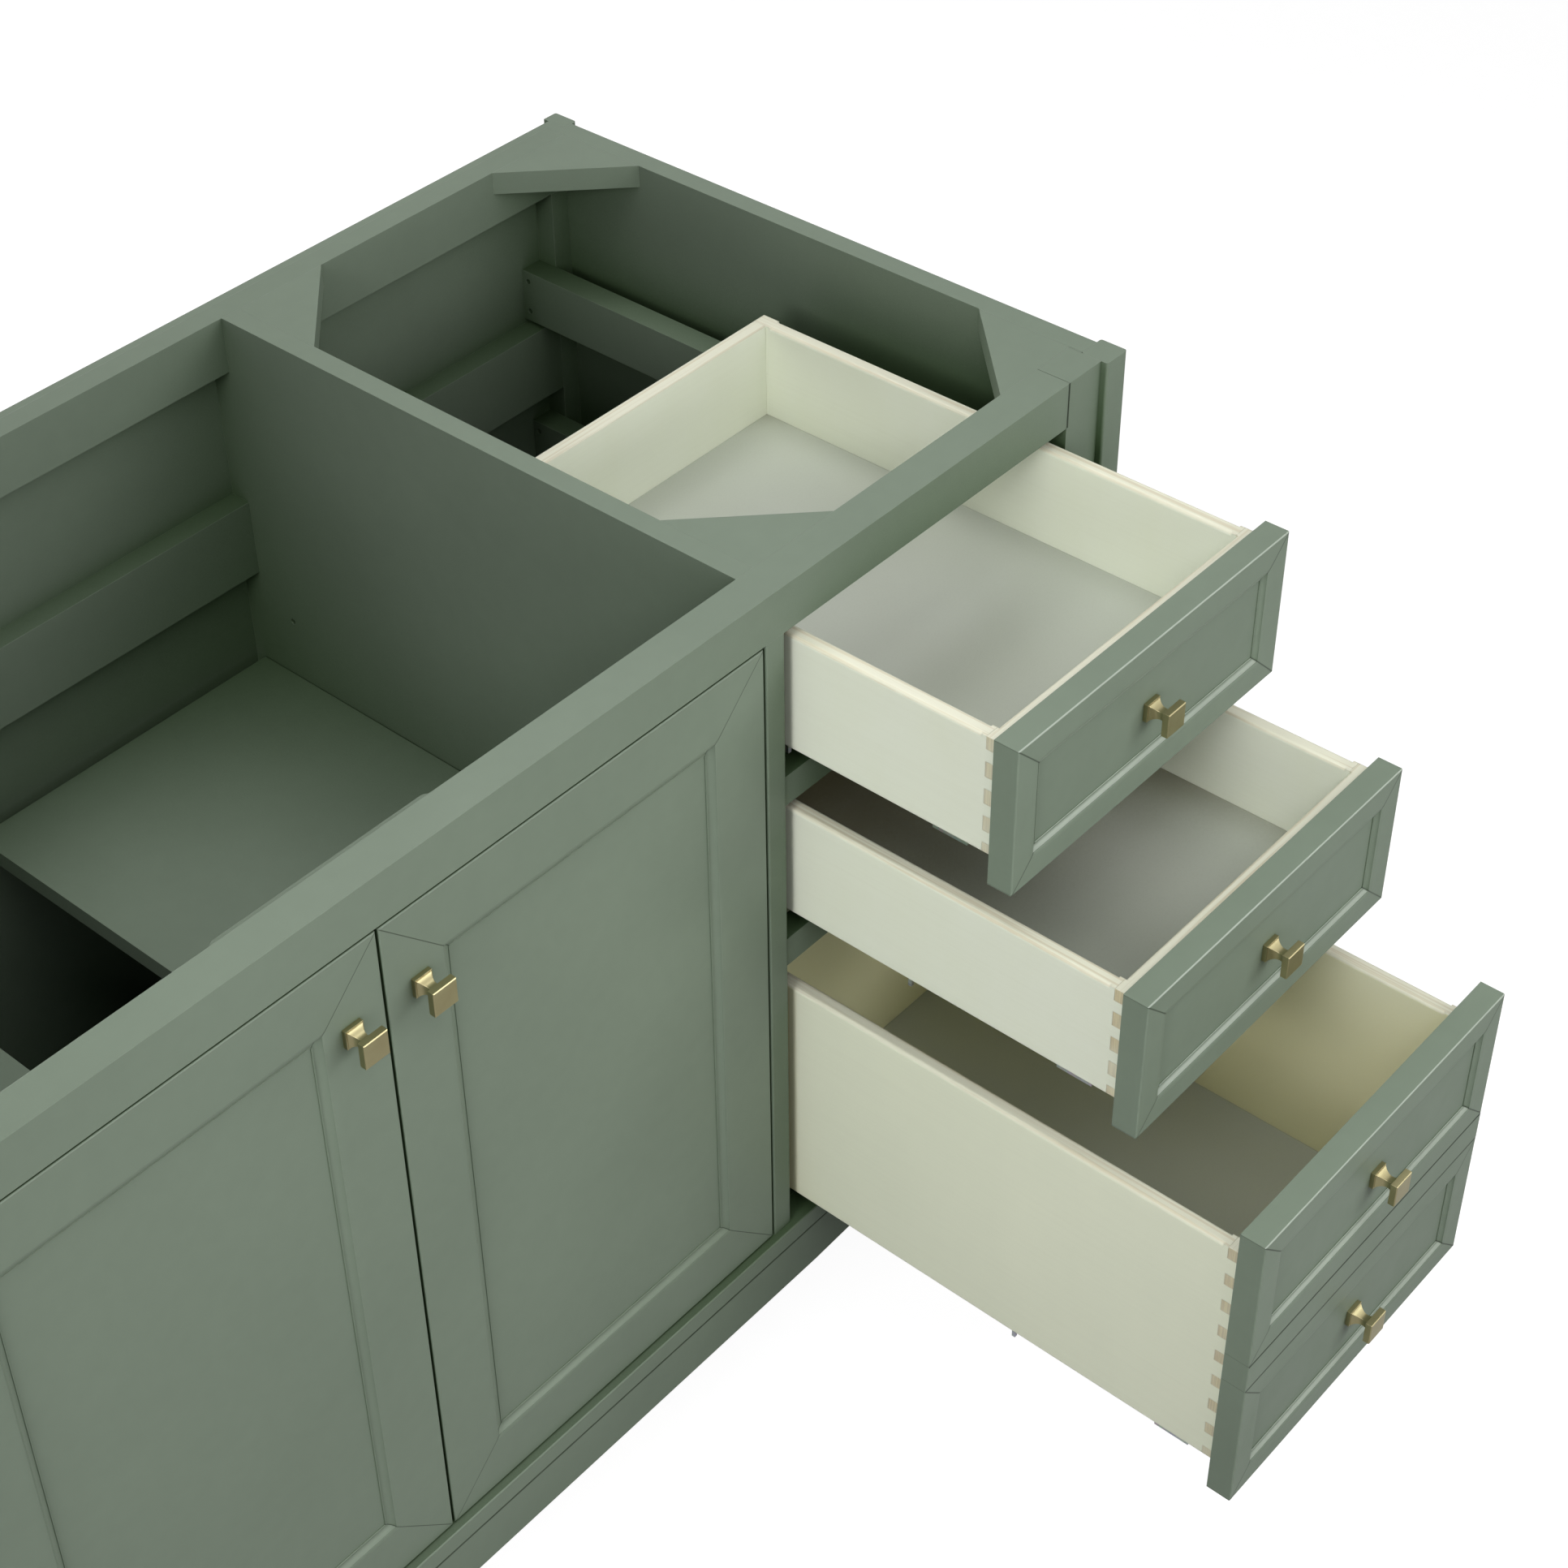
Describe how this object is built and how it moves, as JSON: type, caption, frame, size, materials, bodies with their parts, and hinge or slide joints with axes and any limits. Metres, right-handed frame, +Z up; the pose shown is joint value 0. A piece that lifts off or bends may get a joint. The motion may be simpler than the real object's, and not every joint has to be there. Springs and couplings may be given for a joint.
{
  "type": "bathroom vanity base cabinet",
  "caption": "Freestanding open-topped vanity cabinet on post legs, with framed doors and framed drawers on concealed runners, a notched shelf and square knobs.",
  "frame": {"origin": "on the floor, halfway across and halfway between the open drawers' front and the rear posts' back", "axes": "+X to the right as seen from the front, +Y from the fronts to the wall, +Z up"},
  "size_m": [1.2006, 1.0314, 0.838],
  "materials": {
    "green_paint": "satin sage-green paint over wood",
    "box_wood": "pale whitewashed timber, clear satin lacquer",
    "floor_board": "smooth grey-beige laminated board",
    "zinc_steel": "bright zinc plating",
    "satin_brass": "satin brushed brass"
  },
  "bodies": {
    "carcass": {"apron": "green_paint", "back_panel": "green_paint", "base_rail": "green_paint", "bottom_panel": "green_paint", "corner_blocks": "green_paint", "corner_plates": "green_paint", "divider_panel": "green_paint", "door_stop": "green_paint", "drawer_rails": "green_paint", "hinge_blocks": "green_paint", "hinge_plates": "zinc_steel", "middle_rail_back": "green_paint", "post_front_left": "green_paint", "post_front_right": "green_paint", "post_rear_left": "green_paint", "post_rear_right": "green_paint", "runner_channels": "zinc_steel", "runner_spacers": "green_paint", "shelf": "green_paint", "shelf_pins": "zinc_steel", "side_panel_left": "green_paint", "side_panel_right": "green_paint", "stile_left": "green_paint", "stile_middle": "green_paint", "stile_right": "green_paint", "top_rail_back": "green_paint", "top_rail_front": "green_paint"},
    "drawer_1": {"drawer_1_ends": "box_wood", "drawer_1_floor": "floor_board", "drawer_1_front_frame": "green_paint", "drawer_1_front_panel": "green_paint", "drawer_1_knob": "satin_brass", "drawer_1_sides": "box_wood", "drawer_1_slides": "zinc_steel"},
    "drawer_1_runner": {"drawer_1_middle_slides": "zinc_steel"},
    "drawer_2": {"drawer_2_ends": "box_wood", "drawer_2_floor": "floor_board", "drawer_2_front_frame": "green_paint", "drawer_2_front_panel": "green_paint", "drawer_2_knob": "satin_brass", "drawer_2_sides": "box_wood", "drawer_2_slides": "zinc_steel"},
    "drawer_2_runner": {"drawer_2_middle_slides": "zinc_steel"},
    "drawer_3": {"drawer_3_ends": "box_wood", "drawer_3_floor": "floor_board", "drawer_3_front_frame": "green_paint", "drawer_3_front_panel": "green_paint", "drawer_3_knob": "satin_brass", "drawer_3_sides": "box_wood", "drawer_3_slides": "zinc_steel"},
    "drawer_3_runner": {"drawer_3_middle_slides": "zinc_steel"},
    "door_left": {"door_left_frame": "green_paint", "door_left_hinge_cups": "zinc_steel", "door_left_knob": "satin_brass", "door_left_panel": "green_paint"},
    "door_right": {"door_right_frame": "green_paint", "door_right_hinge_cups": "zinc_steel", "door_right_knob": "satin_brass", "door_right_panel": "green_paint"}
  },
  "joints": [
    {"name": "drawer_1_slide", "type": "slide", "parent": "carcass", "child": "drawer_1", "axis": [0, -1, 0], "range_m": [-0.1979, 0.2526]},
    {"name": "drawer_1_runner_slide", "type": "slide", "parent": "carcass", "child": "drawer_1_runner", "axis": [0, -1, 0], "range_m": [-0.09895, 0.1263]},
    {"name": "drawer_2_slide", "type": "slide", "parent": "carcass", "child": "drawer_2", "axis": [0, -1, 0], "range_m": [-0.3132, 0.1373]},
    {"name": "drawer_2_runner_slide", "type": "slide", "parent": "carcass", "child": "drawer_2_runner", "axis": [0, -1, 0], "range_m": [-0.1566, 0.06865]},
    {"name": "drawer_3_slide", "type": "slide", "parent": "carcass", "child": "drawer_3", "axis": [0, -1, 0], "range_m": [-0.4228, 0.0277]},
    {"name": "drawer_3_runner_slide", "type": "slide", "parent": "carcass", "child": "drawer_3_runner", "axis": [0, -1, 0], "range_m": [-0.2114, 0.01385]},
    {"name": "door_left_hinge", "type": "hinge", "parent": "carcass", "child": "door_left", "pos_m": [-0.5328, -0.07385, 0.4961], "axis": [0, 0, -1], "range_deg": [0, 105]},
    {"name": "door_right_hinge", "type": "hinge", "parent": "carcass", "child": "door_right", "pos_m": [0.1885, -0.07385, 0.4961], "axis": [0, 0, 1], "range_deg": [0, 90]}
  ],
  "couplings": [
    {"joint": "drawer_1_runner_slide", "follows": "drawer_1_slide", "ratio": 0.5},
    {"joint": "drawer_2_runner_slide", "follows": "drawer_2_slide", "ratio": 0.5},
    {"joint": "drawer_3_runner_slide", "follows": "drawer_3_slide", "ratio": 0.5}
  ]
}
